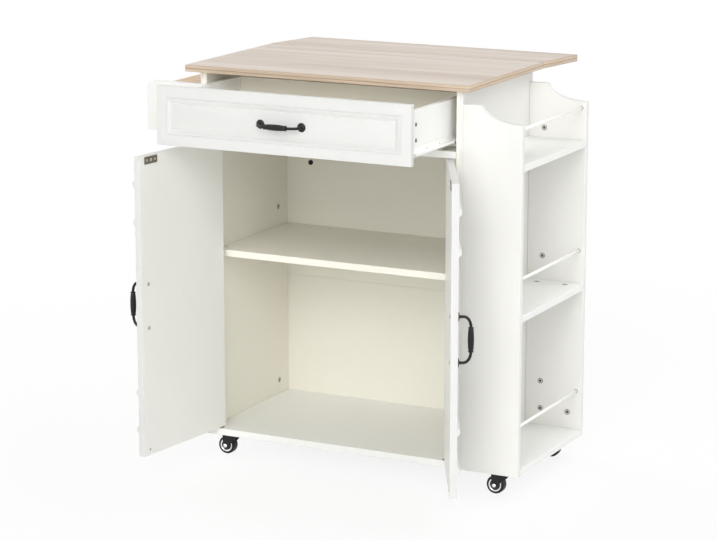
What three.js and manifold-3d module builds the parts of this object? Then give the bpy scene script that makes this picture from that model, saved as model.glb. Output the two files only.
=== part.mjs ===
// Drop leaf kitchen island on casters: cupboard, drawer, spice rack, side shelf with towel rod.
// Millimetres, +Z up, the doors face -Y. Each mesh is one piece of the real thing.
import * as THREE from 'three';
import { mergeVertices } from 'three/addons/utils/BufferGeometryUtils.js';
import Module from 'manifold-3d';

const wasm = await Module();
wasm.setup();

// ---- driving dimensions -------------------------------------------------
const BOARD = 15;            // thickness of every coated board
const GAP = 0.3;             // air between pieces that touch
const WIDTH = 628;           // cupboard, outside of the side panels
const DEPTH = 366;           // cupboard, front plane to back edge
const HEIGHT = 818;          // cupboard, underside to top of the side panels
const BACK = 3;              // back sheet
const TOP = { over: 25, front: -24, back: 369 };
const LEAF = { start: 369, end: 564, axisY: 377, axisZ: 809, droop: 2.5 };
const RACK = { reach: 134, top: 789, flat: 44, coveX: 91, coveZ: 35 };
const RACK_TIERS = [0, 334.5, 655];
const RACK_RODS = [104, 423.5, 741];
const SIDE = { reach: 136, low: 679, top: 789, shelfTop: 773.5 };
const SHELF_Z = 402;         // underside of the adjustable shelf
const RAIL_Z = 673;          // underside of the rail below the drawer
const DOOR = { width: 295, low: 17, high: 671, edge: 14.5, axisY: 7, pinRadius: 2.5 };
const OPEN_LEFT = 96.3;
const OPEN_RIGHT = 117.2;
const DRAWER = { low: 690, high: 816, open: 214, sideX: 31, side: 12, sideLow: 702, sideHigh: 796 };
const HANDLE = { spread: 96, reach: 26.4, grip: 52, doorZ: 346.5, drawerZ: 752 };
const CASTER = { height: 49, radius: 20, trail: 10, plate: 38.5, inset: 30 };
const CASTER_X = [52, 711];
const ARM_X = [77, WIDTH - 77];
const STRUT = { pivot: 90, length: 140 };

// ---- looks --------------------------------------------------------------
const WHITE = { color: 0xe9e7e0, roughness: 0.45, metalness: 0 };
const WOOD = { color: 0xdcc0a4, roughness: 0.5, metalness: 0 };
const BLACK = { color: 0x1b1a19, roughness: 0.4, metalness: 0.6 };
const WHITE_METAL = { color: 0xf0efeb, roughness: 0.35, metalness: 0.2 };
const STEEL = { color: 0xc2c2c0, roughness: 0.3, metalness: 0.9 };
const RUBBER = { color: 0x20201f, roughness: 0.7, metalness: 0 };

const rad = THREE.MathUtils.degToRad;

// ---- geometry helpers ---------------------------------------------------
function weld(geometry) {
  const plain = geometry.index ? geometry.toNonIndexed() : geometry.clone();
  plain.deleteAttribute('normal');
  plain.deleteAttribute('uv');
  const merged = mergeVertices(plain, 1e-3);
  const kept = [];
  const index = merged.index.array;
  for (let i = 0; i < index.length; i += 3) {
    const [a, b, c] = [index[i], index[i + 1], index[i + 2]];
    if (a !== b && b !== c && c !== a) kept.push(a, b, c);
  }
  if (volume(merged.attributes.position, kept) < 0) kept.reverse();
  merged.setIndex(kept);
  return merged;
}

// Signed volume of a closed mesh: below zero when its faces point inwards.
function volume(position, index) {
  const [a, b, c] = [new THREE.Vector3(), new THREE.Vector3(), new THREE.Vector3()];
  let sum = 0;
  for (let i = 0; i < index.length; i += 3) {
    a.fromBufferAttribute(position, index[i]);
    b.fromBufferAttribute(position, index[i + 1]);
    c.fromBufferAttribute(position, index[i + 2]);
    sum += a.dot(b.cross(c)) / 6;
  }
  return sum;
}

function toSolid(geometry) {
  const merged = weld(geometry);
  const mesh = new wasm.Mesh({
    numProp: 3,
    vertProperties: new Float32Array(merged.attributes.position.array),
    triVerts: new Uint32Array(merged.index.array),
  });
  return new wasm.Manifold(mesh);
}

function fromSolid(solid) {
  const mesh = solid.getMesh();
  const geometry = new THREE.BufferGeometry();
  const points = new Float32Array(mesh.vertProperties);
  geometry.setAttribute('position', new THREE.BufferAttribute(points, 3));
  geometry.setIndex(new THREE.BufferAttribute(new Uint32Array(mesh.triVerts), 1));
  return geometry;
}

function join(...shapes) {
  return fromSolid(shapes.map(toSolid).reduce((a, b) => a.add(b)));
}

function cut(base, ...tools) {
  return fromSolid(tools.map(toSolid).reduce((a, b) => a.subtract(b), toSolid(base)));
}

// A flat outline grown to a thickness. along says which way the thickness runs:
// z: outline in XY, y: outline in XZ, x: outline in YZ. It always runs from 0 upwards.
function slab(shape, thickness, along = 'z', bevel = 0, curveSegments = 10) {
  const geometry = new THREE.ExtrudeGeometry(shape, {
    depth: thickness - 2 * bevel,
    bevelEnabled: bevel > 0,
    bevelThickness: bevel,
    bevelSize: bevel,
    bevelOffset: -bevel,
    bevelSegments: 1,
    curveSegments,
  });
  geometry.translate(0, 0, bevel);
  const [X, Y, Z] = [[1, 0, 0], [0, 1, 0], [0, 0, 1]].map((v) => new THREE.Vector3(...v));
  const turn = new THREE.Matrix4();
  if (along === 'x') geometry.applyMatrix4(turn.makeBasis(Y, Z, X));
  if (along === 'y') {
    geometry.applyMatrix4(turn.makeBasis(X, Z, Y.clone().negate()));
    geometry.translate(0, thickness, 0);
  }
  return geometry;
}

function outline(points) {
  return new THREE.Shape(points.map(([x, y]) => new THREE.Vector2(x, y)));
}

// A rectangle, its four corners rounded to the radius r.
function rectangle(x0, y0, x1, y1, r = 0) {
  if (r === 0) return outline([[x0, y0], [x1, y0], [x1, y1], [x0, y1]]);
  const shape = new THREE.Shape();
  shape.moveTo(x0 + r, y0);
  shape.lineTo(x1 - r, y0);
  shape.absarc(x1 - r, y0 + r, r, -Math.PI / 2, 0, false);
  shape.lineTo(x1, y1 - r);
  shape.absarc(x1 - r, y1 - r, r, 0, Math.PI / 2, false);
  shape.lineTo(x0 + r, y1);
  shape.absarc(x0 + r, y1 - r, r, Math.PI / 2, Math.PI, false);
  shape.lineTo(x0, y0 + r);
  shape.absarc(x0 + r, y0 + r, r, Math.PI, 1.5 * Math.PI, false);
  return shape;
}

// A board filling the box from low to high, its long edges slightly broken.
function board([x0, y0, z0], [x1, y1, z1], bevel = 0.7) {
  const size = [x1 - x0, y1 - y0, z1 - z0];
  const thin = size.indexOf(Math.min(...size));
  const along = 'xyz'[thin];
  const [a, b] = [[1, 2], [0, 2], [0, 1]][thin];
  const geometry = slab(rectangle(0, 0, size[a], size[b]), size[thin], along, bevel);
  return geometry.translate(x0, y0, z0);
}

// A closed profile of [radius, height] points turned about Z, or about Y or X.
function turned(profile, segments = 24, axis = 'z') {
  const points = profile.map(([r, h]) => new THREE.Vector2(r, h));
  points.push(points[0].clone());
  const geometry = new THREE.LatheGeometry(points, segments);
  if (axis === 'z') geometry.rotateX(Math.PI / 2);
  if (axis === 'x') geometry.rotateZ(-Math.PI / 2);
  return geometry;
}

function rod(radius, length, axis = 'z', segments = 14) {
  return turned([[0, 0], [radius, 0], [radius, length], [0, length]], segments, axis);
}

// A block whose front and back faces are two rectangles in XZ, joined by sloping sides.
// Each rectangle is [x0, z0, x1, z1]; yA is in front of yB.
function taperedBlock(rectA, yA, rectB, yB) {
  const corners = ([x0, z0, x1, z1], y) => [[x0, y, z0], [x1, y, z0], [x1, y, z1], [x0, y, z1]];
  const points = [...corners(rectA, yA), ...corners(rectB, yB)];
  const quads = [[0, 1, 2, 3], [7, 6, 5, 4], [4, 5, 1, 0], [5, 6, 2, 1], [6, 7, 3, 2], [7, 4, 0, 3]];
  const flat = [];
  for (const [a, b, c, d] of quads) {
    for (const i of [a, b, c, a, c, d]) flat.push(...points[i]);
  }
  const geometry = new THREE.BufferGeometry();
  geometry.setAttribute('position', new THREE.Float32BufferAttribute(flat, 3));
  return geometry;
}

function piece(name, geometry, look, position = [0, 0, 0]) {
  const clean = fromSolid(toSolid(geometry));
  clean.computeVertexNormals();
  const mesh = new THREE.Mesh(clean, new THREE.MeshStandardMaterial(look));
  mesh.name = name;
  mesh.position.set(...position);
  return mesh;
}

function group(position = [0, 0, 0], ...children) {
  const made = new THREE.Group();
  made.position.set(...position);
  made.add(...children);
  return made;
}

// ---- cupboard -----------------------------------------------------------
function pinHoles(z) {
  const centres = [17 + DOOR.edge, WIDTH - 17 - DOOR.edge];
  return centres.map((x) => rod(DOOR.pinRadius + 0.2, 12).translate(x, DOOR.axisY, z));
}

function sidePanels() {
  const left = board([0, 0, 0], [BOARD, DEPTH, HEIGHT]);
  const right = board([WIDTH - BOARD, 0, 0], [WIDTH, DEPTH, HEIGHT]);
  return [piece('side_panel_left', left, WHITE), piece('side_panel_right', right, WHITE)];
}

function crossPanels() {
  const x0 = BOARD + GAP;
  const x1 = WIDTH - BOARD - GAP;
  const bottom = cut(board([x0, 0, 0], [x1, DEPTH, BOARD]), ...pinHoles(6));
  const rail = cut(board([x0, 0, RAIL_Z], [x1, 62, RAIL_Z + BOARD]), ...pinHoles(RAIL_Z - 3));
  const shelf = board([x0 + 0.4, 35, SHELF_Z], [x1 - 0.4, DEPTH - 3, SHELF_Z + BOARD]);
  return [
    piece('bottom_panel', bottom, WHITE),
    piece('drawer_rail', rail, WHITE),
    piece('adjustable_shelf', shelf, WHITE),
  ];
}

// One thin sheet, folded once for packing: a V groove runs across its inner face.
function backSheet() {
  const y0 = DEPTH + GAP;
  const sheet = board([1, y0, 1], [WIDTH - 1, y0 + BACK - GAP, HEIGHT - 1], 0.4);
  const groove = slab(outline([[y0 - 1, 293.2], [y0 + 1.2, 294.6], [y0 - 1, 296]]), WIDTH + 2, 'x');
  return piece('back_panel', cut(sheet, groove.translate(-1, 0, 0)), WHITE);
}

function worktop() {
  const shape = rectangle(-TOP.over, TOP.front, WIDTH + TOP.over, TOP.back, 2);
  const geometry = slab(shape, BOARD - GAP, 'z', 0.9, 1);
  return piece('worktop', geometry, WOOD, [0, 0, HEIGHT + GAP]);
}

// ---- spice rack on the right --------------------------------------------
// The end panel runs level, then falls in a hollow quarter ellipse to its outer edge.
function rackPanelShape() {
  const x0 = WIDTH + GAP;
  const x1 = WIDTH + RACK.reach;
  const shape = new THREE.Shape();
  shape.moveTo(x0, 0);
  shape.lineTo(x1, 0);
  shape.lineTo(x1, RACK.top - RACK.coveZ);
  const start = -Math.PI / 2;
  shape.absellipse(x1, RACK.top, RACK.coveX, RACK.coveZ, start, -Math.PI, true);
  shape.lineTo(x0, RACK.top);
  return shape;
}

function spiceRack() {
  const x0 = WIDTH + GAP;
  const x1 = WIDTH + RACK.reach;
  const y0 = BOARD + GAP;
  const y1 = DEPTH - BOARD - GAP;
  const panel = () => slab(rackPanelShape(), BOARD, 'y', 0.7, 14);
  const made = [
    piece('rack_panel_front', panel(), WHITE),
    piece('rack_panel_rear', panel(), WHITE, [0, DEPTH - BOARD, 0]),
  ];
  const places = ['bottom', 'middle', 'top'];
  RACK_TIERS.forEach((z, i) => {
    const tier = board([x0, y0, z], [x1, y1, z + BOARD]);
    made.push(piece(`rack_shelf_${places[i]}`, tier, WHITE));
  });
  RACK_RODS.forEach((z, i) => {
    const bar = rod(4, y1 - y0, 'y', 14);
    made.push(piece(`rack_rod_${places[i]}`, bar, WHITE_METAL, [WIDTH + 122.5, y0, z]));
  });
  return made;
}

// ---- side shelf and towel rod on the left -------------------------------
function bracketShape() {
  const [x0, x1, z0, z1] = [-SIDE.reach, -GAP, SIDE.low, SIDE.top];
  const shape = new THREE.Shape();
  shape.moveTo(x1, z0);
  shape.lineTo(x1, z1);
  shape.lineTo(x0 + 18, z1);
  shape.absarc(x0 + 18, z1 - 18, 18, Math.PI / 2, Math.PI, false);
  shape.lineTo(x0, z0 + 6);
  shape.absarc(x0 + 6, z0 + 6, 6, Math.PI, 1.5 * Math.PI, false);
  return shape;
}

function sideUnit() {
  const y0 = BOARD + GAP;
  const y1 = DEPTH - BOARD - GAP;
  const bracket = () => slab(bracketShape(), BOARD, 'y', 0.7, 5);
  const shelf = board([-SIDE.reach + 4, y0, SIDE.shelfTop - BOARD], [-GAP, y1, SIDE.shelfTop]);
  return [
    piece('side_bracket_front', bracket(), WHITE),
    piece('side_bracket_rear', bracket(), WHITE, [0, DEPTH - BOARD, 0]),
    piece('side_shelf', shelf, WOOD),
    piece('towel_rod', rod(6, y1 - y0, 'y', 16), WHITE_METAL, [-104, y0, 708]),
  ];
}

// ---- bow handle: the piece that takes the most skill ---------------------
// Stations run from one foot to the middle of the grip. Each is [out, along, radius, angle]:
// out of the face, along the handle, ring radius, and the angle of the bow's centre line,
// 0 pointing straight out and 90 pointing along the grip.
function handleStations() {
  const half = HANDLE.spread / 2;
  const gripEnd = HANDLE.grip / 2;
  const bendOut = 11;
  const stations = [
    [0, half, 9.6, 0],
    [1.2, half, 9.8, 0],
    [2.7, half, 7.6, 0],
    [3.4, half, 3.3, 0],
    [7, half, 3.1, 0],
  ];
  for (let angle = 0; angle <= 90; angle += 15) {
    const u = rad(angle);
    const out = bendOut + (HANDLE.reach - bendOut) * Math.sin(u);
    const along = gripEnd + (half - gripEnd) * Math.cos(u);
    stations.push([out, along, 3.05, angle]);
  }
  const collar = [[0, 5.5], [1.3, 6.1], [2.8, 5.5], [3.3, 4.9], [4.6, 5.3]];
  for (const [step, radius] of collar) stations.push([HANDLE.reach, gripEnd - step, radius, 90]);
  for (const along of [15, 7.5, 0]) {
    const swell = 6.5 - 1.1 * (along / 21) ** 2;
    stations.push([HANDLE.reach, along, swell, 90]);
  }
  return stations;
}

function handle() {
  const half = handleStations();
  const other = half.slice(0, -1).reverse().map(([out, along, r, angle]) => [out, -along, r, 180 - angle]);
  const sides = 10;
  const points = [];
  const rings = [...half, ...other];
  for (const [out, along, radius, angle] of rings) {
    const tilt = rad(angle);
    for (let k = 0; k < sides; k += 1) {
      const turn = (2 * Math.PI * k) / sides;
      const across = radius * Math.sin(turn);
      points.push([radius * Math.cos(turn), -(out + across * Math.sin(tilt)), along + across * Math.cos(tilt)]);
    }
  }
  const flat = [];
  const triangle = (a, b, c) => flat.push(...a, ...b, ...c);
  for (let ring = 0; ring + 1 < rings.length; ring += 1) {
    for (let k = 0; k < sides; k += 1) {
      const [a, b] = [ring * sides + k, ring * sides + ((k + 1) % sides)];
      triangle(points[a], points[b], points[a + sides]);
      triangle(points[b], points[b + sides], points[a + sides]);
    }
  }
  for (let k = 0; k < sides; k += 1) {
    const next = (k + 1) % sides;
    const last = (rings.length - 1) * sides;
    triangle(points[next], points[k], [0, 0, HANDLE.spread / 2]);
    triangle(points[last + k], points[last + next], [0, 0, -HANDLE.spread / 2]);
  }
  const geometry = new THREE.BufferGeometry();
  geometry.setAttribute('position', new THREE.Float32BufferAttribute(flat, 3));
  return geometry;
}

// ---- raised frame moulding ----------------------------------------------
// A bead stands proud of the face round a field that slopes in. Returns what to add and to cut.
function frameMoulding([x0, z0, x1, z1], proud, sunk, bead = 10, slope = 13) {
  const inset = (d) => [x0 + d, z0 + d, x1 - d, z1 - d];
  const raised = taperedBlock(inset(1.2), -proud, inset(0), 1);
  const opened = taperedBlock(inset(bead - 1), -proud - 1, inset(bead + slope), sunk);
  return { raised, opened };
}

// ---- drawer -------------------------------------------------------------
function drawerFront() {
  const [x0, x1] = [17, WIDTH - 17];
  const plate = board([x0, 0, DRAWER.low], [x1, BOARD, DRAWER.high], 1.2);
  const frame = frameMoulding([x0 + 24, DRAWER.low + 16, x1 - 24, DRAWER.high - 21], 2.6, 2.4);
  return cut(join(plate, frame.raised), frame.opened);
}

// Drawer side: an upright board with a groove for the bottom sheet on its inner face.
function drawerSide() {
  const { side, sideLow, sideHigh } = DRAWER;
  const shape = outline([
    [0, sideLow], [side, sideLow], [side, sideLow + 8], [side - 4.3, sideLow + 8],
    [side - 4.3, sideLow + 11.6], [side, sideLow + 11.6], [side, sideHigh], [0, sideHigh],
  ]);
  return slab(shape, 312, 'y', 0, 4);
}

// Fixed channel of a drawer slide: web on the cupboard side, open towards the drawer.
function slideRail() {
  const shape = outline([
    [0, 0], [11.5, 0], [11.5, 5], [10.2, 5], [10.2, 1.4], [1.4, 1.4],
    [1.4, 24.6], [8, 24.6], [8, 26], [0, 26],
  ]);
  return slab(shape, 326, 'y', 0, 4);
}

// Moving half: an upright flange on the drawer side with a lip reaching into the channel.
function slideRunner() {
  const shape = outline([
    [0, 0], [1.3, 0], [1.3, 8], [9.6, 8], [9.6, 5], [10.9, 5], [10.9, 9.4], [1.3, 9.4], [1.3, 20], [0, 20],
  ]);
  return slab(shape, 310, 'y', 0, 4);
}

// Left and right handed copies: weld turns the faces outwards again.
function mirrored(geometry) {
  return weld(geometry.clone().scale(-1, 1, 1));
}

function slideRails() {
  const inner = BOARD + GAP;
  return [
    piece('slide_rail_left', slideRail(), WHITE_METAL, [inner, 16, 700]),
    piece('slide_rail_right', mirrored(slideRail()), WHITE_METAL, [WIDTH - inner, 16, 700]),
  ];
}

function drawer() {
  const { sideX, side, sideLow, sideHigh } = DRAWER;
  const y0 = BOARD + GAP;
  const innerLow = sideX + side;
  const innerHigh = WIDTH - sideX - side;
  const back = board([innerLow + GAP, y0 + 298, sideLow + 12.2], [innerHigh - GAP, y0 + 310, sideHigh], 0.5);
  const sheet = board(
    [innerLow - 4, y0 + 0.5, sideLow + 8.3],
    [innerHigh + 4, y0 + 311, sideLow + 11.3],
    0.2,
  );
  const grip = handle().rotateY(Math.PI / 2);
  return group(
    [0, -DRAWER.open, 0],
    piece('drawer_front', drawerFront(), WHITE),
    piece('drawer_side_left', drawerSide(), WHITE, [sideX, y0, 0]),
    piece('drawer_side_right', mirrored(drawerSide()), WHITE, [WIDTH - sideX, y0, 0]),
    piece('drawer_back', back, WHITE),
    piece('drawer_bottom', sheet, WHITE),
    piece('drawer_runner_left', mirrored(slideRunner()), WHITE_METAL, [sideX - GAP, 33, sideLow]),
    piece('drawer_runner_right', slideRunner(), WHITE_METAL, [WIDTH - sideX + GAP, 33, sideLow]),
    piece('drawer_handle', grip, BLACK, [WIDTH / 2, 2.4 - GAP, HANDLE.drawerZ]),
  );
}

// ---- doors --------------------------------------------------------------
// A half round strip across the door: section in YZ, standing out of the outer face.
function ribShape(z) {
  const shape = new THREE.Shape();
  const outer = -DOOR.axisY;
  shape.moveTo(outer + 1, z - 8);
  shape.lineTo(outer + 1, z + 8);
  shape.lineTo(outer, z + 8);
  shape.absellipse(outer, z, 6.5, 8, Math.PI / 2, 1.5 * Math.PI, false);
  return shape;
}

// Built for the left door: x runs from the pivot towards the free edge, 0 is the pivot axis.
function doorLeaf() {
  const x0 = -DOOR.edge;
  const x1 = DOOR.width - DOOR.edge;
  const height = DOOR.high - DOOR.low;
  const [yOut, yIn] = [-DOOR.axisY, BOARD - DOOR.axisY];
  const plate = board([x0, yOut, 0], [x1, yIn, height], 1.2);
  const ribs = [59, 141, height - 141, height - 59].map((z) =>
    slab(ribShape(z), x1 - x0 - 36.8, 'x', 0, 7).translate(x0 + 36, 0, 0),
  );
  const frame = frameMoulding([x0 + 36, 172, x1 - 36, height - 172], 3, 1.5);
  for (const shape of [frame.raised, frame.opened]) shape.translate(0, yOut, 0);
  const bore = () => rod(DOOR.pinRadius + 0.2, 12);
  const solid = join(plate, frame.raised, ...ribs);
  return cut(solid, frame.opened, bore().translate(0, 0, -1), bore().translate(0, 0, height - 11));
}

function strikePlate() {
  return slab(rectangle(-21.5, -8, 21.5, 8, 2), 1.4, 'y', 0, 2);
}

function door(side, angle) {
  const left = side === 'left';
  const way = left ? 1 : -1;
  const pivotX = left ? 17 + DOOR.edge : WIDTH - 17 - DOOR.edge;
  const panel = left ? doorLeaf() : mirrored(doorLeaf());
  const hand = way * (DOOR.width - DOOR.edge - 23);
  const strikeX = way * 243;
  const made = group(
    [pivotX, DOOR.axisY, DOOR.low],
    piece(`door_${side}`, panel, WHITE),
    piece(`door_handle_${side}`, handle(), BLACK, [hand, -DOOR.axisY - GAP, HANDLE.doorZ - DOOR.low]),
    piece(`strike_plate_${side}`, strikePlate(), STEEL, [strikeX, BOARD - DOOR.axisY + GAP, 644]),
  );
  made.rotation.z = -way * rad(angle);
  return made;
}

// Flanged pin between a door and the board above or below it.
function pivotPins() {
  const pin = turned([[0, -8], [2.5, -8], [2.5, 0.3], [4.5, 0.3], [4.5, 1.7], [2.5, 1.7], [2.5, 10], [0, 10]], 12);
  const xs = { left: 17 + DOOR.edge, right: WIDTH - 17 - DOOR.edge };
  const made = [];
  for (const side of ['left', 'right']) {
    made.push(piece(`pivot_pin_bottom_${side}`, pin, STEEL, [xs[side], DOOR.axisY, BOARD]));
    const flipped = pin.clone().rotateX(Math.PI);
    made.push(piece(`pivot_pin_top_${side}`, flipped, STEEL, [xs[side], DOOR.axisY, RAIL_Z]));
  }
  return made;
}

// Magnetic catch under the drawer rail, behind each strike plate.
function catches() {
  const body = join(
    board([-22, 1.5, -13], [22, 17, 0], 1),
    board([-15, 0, -11], [15, 3, -3], 0.5),
  );
  const x = 17 + DOOR.edge + 243;
  return [
    piece('magnetic_catch_left', body, WHITE, [x, 17.6, RAIL_Z - GAP]),
    piece('magnetic_catch_right', body.clone(), WHITE, [WIDTH - x, 17.6, RAIL_Z - GAP]),
  ];
}

// ---- drop leaf and its folding brackets ---------------------------------
function dropLeaf() {
  const shape = rectangle(-TOP.over, LEAF.start - LEAF.axisY, WIDTH + TOP.over, LEAF.end - LEAF.axisY, 2);
  const geometry = slab(shape, BOARD, 'z', 0.9, 1);
  return piece('drop_leaf', geometry, WOOD, [0, 0, HEIGHT - LEAF.axisZ]);
}

// Upright channel on the back of the cupboard, with the pin that the shelf arm turns on.
function wallArm() {
  const [yWeb, yLip] = [DEPTH + BACK + GAP, 383];
  const [low, high] = [546, 815];
  const cheek = (x) => slab(rectangle(yWeb, low, yLip, high, 4), 1.5, 'x', 0, 2).translate(x, 0, 0);
  const web = board([-11.3, yWeb, low + 4], [11.3, yWeb + 1.5, high - 4], 0);
  const pin = rod(2.5, 24.6, 'x', 14).translate(-12.3, LEAF.axisY, LEAF.axisZ);
  return join(web, cheek(-11.3), cheek(9.8), pin);
}

// Level channel under the leaf, origin on the leaf's axis. Its cheeks end round about the axis.
function shelfArm() {
  const top = HEIGHT - LEAF.axisZ - GAP;
  const reach = 168;
  const cheekShape = () => {
    const shape = new THREE.Shape();
    shape.moveTo(-3, top);
    shape.lineTo(-5.6, 0);
    shape.absarc(0, 0, 5.6, Math.PI, 1.5 * Math.PI, false);
    shape.lineTo(reach - 30, -5.6);
    shape.lineTo(reach, top - 3);
    shape.lineTo(reach, top);
    for (const y of [0, STRUT.pivot]) {
      const hole = new THREE.Path();
      hole.absarc(y, 0, 2.75, 0, 2 * Math.PI, true);
      shape.holes.push(hole);
    }
    return shape;
  };
  const cheek = (x) => slab(cheekShape(), 1.5, 'x', 0, 6).translate(x, 0, 0);
  const web = board([-9.4, -3, top - 1.5], [9.4, reach, top], 0);
  return join(web, cheek(-9.4), cheek(7.9));
}

// Flat bar with a pin across each end, origin on its upper pin, hanging down -Z.
function strutBar() {
  const shape = new THREE.Shape();
  shape.absarc(0, 0, 5, 0, Math.PI, false);
  shape.absarc(0, -STRUT.length, 5, Math.PI, 2 * Math.PI, false);
  const bar = slab(shape, 8, 'x', 0.6, 5).translate(-4, 0, 0);
  const upper = rod(2.5, 18.4, 'x', 12).translate(-9.2, 0, 0);
  const lower = rod(3, 18.4, 'x', 12).translate(-9.2, 0, -STRUT.length);
  return join(bar, upper, lower);
}

function leafUnit() {
  const names = ['left', 'right'];
  const fixed = names.map((side, i) => piece(`leaf_wall_arm_${side}`, wallArm(), STEEL, [ARM_X[i], 0, 0]));
  const droop = rad(LEAF.droop);
  const moving = group([0, LEAF.axisY, LEAF.axisZ], dropLeaf());
  moving.rotation.x = -droop;
  // The foot of each strut rests on the wall arm's centre line.
  const lean = Math.asin((STRUT.pivot * Math.cos(droop)) / STRUT.length);
  names.forEach((side, i) => {
    moving.add(piece(`leaf_shelf_arm_${side}`, shelfArm(), STEEL, [ARM_X[i], 0, 0]));
    const strut = group([ARM_X[i], STRUT.pivot, 0], piece(`leaf_strut_${side}`, strutBar(), STEEL));
    strut.rotation.x = -lean + droop;
    moving.add(strut);
  });
  return [...fixed, moving];
}

// ---- casters ------------------------------------------------------------
function casterPlate() {
  const half = CASTER.plate / 2;
  const shape = rectangle(-half, -half, half, half, 4);
  for (const [x, y] of [[-14, -14], [14, -14], [14, 14], [-14, 14]]) {
    const hole = new THREE.Path();
    hole.absarc(x, y, 2.2, 0, 2 * Math.PI, true);
    shape.holes.push(hole);
  }
  const plate = slab(shape, 2, 'z', 0, 3).translate(0, 0, -2 - GAP);
  const race = turned([[0, -1.5], [11, -1.5], [11, -3.6], [9, -4.3], [3, -4.3], [3, -7.1], [5, -7.1], [4.4, -8.4], [0, -8.4]], 16);
  return join(plate, race);
}

// Top plate with the king pin hole, two cheeks narrowing to the axle, axle with domed ends.
function casterFork() {
  const axle = [-CASTER.trail, CASTER.radius - CASTER.height];
  const topShape = rectangle(-17, -14, 16, 14, 3);
  const hole = new THREE.Path();
  hole.absarc(0, 0, 3.3, 0, 2 * Math.PI, true);
  topShape.holes.push(hole);
  const top = slab(topShape, 2, 'z', 0, 5).translate(0, 0, -6.6);
  const cheekShape = new THREE.Shape();
  cheekShape.moveTo(-17, -4.6);
  cheekShape.lineTo(-17, -9);
  cheekShape.absarc(...axle, 6, Math.PI * 1.02, Math.PI * 1.8, false);
  cheekShape.lineTo(16, -10);
  cheekShape.lineTo(16, -4.6);
  const cheek = (y) => slab(cheekShape, 1.8, 'y', 0, 5).translate(0, y, 0);
  const end = [[0, -16.6], [2.4, -16.2], [4, -15.2], [4.6, -13.8], [2.6, -13.8]];
  const profile = [...end, ...end.map(([r, y]) => [r, -y]).reverse()];
  const pin = turned(profile, 14, 'y').translate(axle[0], 0, axle[1]);
  return join(top, cheek(-14), cheek(12.2), pin);
}

function casterWheel() {
  const side = [[3.1, 11.4], [6.6, 11.4], [7.4, 8.6], [11.6, 8.6], [12.3, 10.2], [15.4, 10.2], [16, 9.5], [18.4, 9.5], [20, 7.4]];
  const profile = [...side.map(([r, y]) => [r, -y]), ...side.slice().reverse()];
  return turned(profile, 20, 'y');
}

function casters() {
  const made = [];
  for (const [i, x] of CASTER_X.entries()) {
    for (const [j, y] of [CASTER.inset, DEPTH - CASTER.inset].entries()) {
      const tag = `${['left', 'right'][i]}_${['front', 'rear'][j]}`;
      const wheel = piece(`caster_wheel_${tag}`, casterWheel(), RUBBER);
      wheel.position.set(-CASTER.trail, 0, CASTER.radius - CASTER.height);
      made.push(group(
        [x, y, 0],
        piece(`caster_plate_${tag}`, casterPlate(), BLACK),
        piece(`caster_fork_${tag}`, casterFork(), BLACK),
        wheel,
      ));
    }
  }
  return made;
}

// ---- whole island -------------------------------------------------------
const island = new THREE.Group();
island.name = 'drop_leaf_kitchen_island';
const body = group(
  [0, 0, 0],
  ...sidePanels(),
  ...crossPanels(),
  backSheet(),
  worktop(),
  ...spiceRack(),
  ...sideUnit(),
  ...slideRails(),
  drawer(),
  door('left', OPEN_LEFT),
  door('right', OPEN_RIGHT),
  ...pivotPins(),
  ...catches(),
  ...leafUnit(),
  ...casters(),
);
island.add(body);
island.updateMatrixWorld(true);
const box = new THREE.Box3().setFromObject(island, true);
// The origin is the middle of the bounding box's foot.
body.position.set(-(box.min.x + box.max.x) / 2, -(box.min.y + box.max.y) / 2, -box.min.z);
island.updateMatrixWorld(true);

export default island;
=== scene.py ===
"""Looks of the drop leaf kitchen island: finishes, fine pieces, light and camera over the frame.

Laid out as an add-on, with one operator for each group of pieces, run in order by main().
Lengths in the tables are millimetres from the cupboard's front left foot corner, and those of
the doors are from their pivots.
"""
import math

import bmesh
import bpy
import numpy as np
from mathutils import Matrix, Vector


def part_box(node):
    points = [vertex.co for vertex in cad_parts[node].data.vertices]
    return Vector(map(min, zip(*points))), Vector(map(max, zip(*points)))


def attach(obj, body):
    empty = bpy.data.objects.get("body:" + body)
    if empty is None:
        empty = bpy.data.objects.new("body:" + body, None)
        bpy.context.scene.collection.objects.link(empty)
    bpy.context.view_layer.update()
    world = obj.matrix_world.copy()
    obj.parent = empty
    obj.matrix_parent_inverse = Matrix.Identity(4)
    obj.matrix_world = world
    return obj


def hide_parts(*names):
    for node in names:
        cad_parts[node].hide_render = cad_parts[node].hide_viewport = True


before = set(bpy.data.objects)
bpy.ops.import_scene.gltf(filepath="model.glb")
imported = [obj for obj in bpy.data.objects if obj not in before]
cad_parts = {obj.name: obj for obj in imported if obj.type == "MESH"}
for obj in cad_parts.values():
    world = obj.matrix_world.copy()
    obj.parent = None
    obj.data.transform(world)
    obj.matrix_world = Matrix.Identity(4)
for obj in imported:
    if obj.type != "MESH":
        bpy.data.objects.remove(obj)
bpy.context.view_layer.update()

bl_info = {
    "name": "Drop Leaf Kitchen Island",
    "version": (1, 0, 0),
    "blender": (4, 5, 0),
    "location": "View3D > Sidebar > Island",
    "description": "Dresses the frame of a kitchen island with fine pieces and finishes",
    "category": "Object",
}

CORNER = np.array(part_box("side_panel_left")[0], float)

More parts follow.
